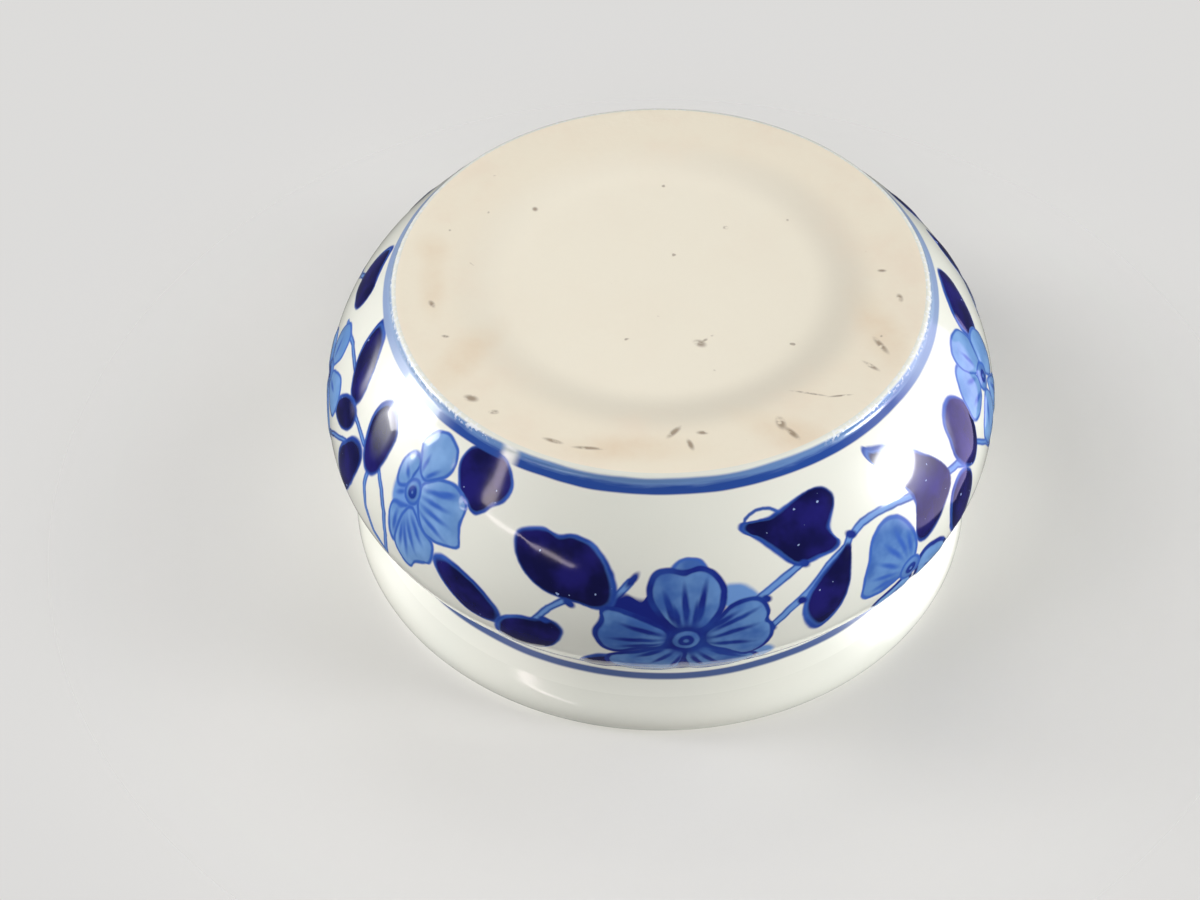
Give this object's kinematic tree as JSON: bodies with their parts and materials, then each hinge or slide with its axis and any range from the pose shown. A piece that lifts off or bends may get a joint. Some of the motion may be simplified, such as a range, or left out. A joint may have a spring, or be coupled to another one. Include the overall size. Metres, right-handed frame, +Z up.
{
  "type": "catchall bowl",
  "caption": "Round-bellied glazed porcelain bowl with a spreading collar, a wide bare foot and blue blossom and leaf decoration in low relief.",
  "frame": {"origin": "on the bowl's axis, in the plane that its foot stands on", "axes": "+Z up along the axis, through the mouth; -Y towards the large central blossom"},
  "size_m": [0.11, 0.11, 0.0502],
  "materials": {
    "glaze": "glossy white glaze with cobalt blue painting, bare beige clay underfoot"
  },
  "bodies": {
    "root": {"bowl": "glaze"}
  },
  "joints": []
}
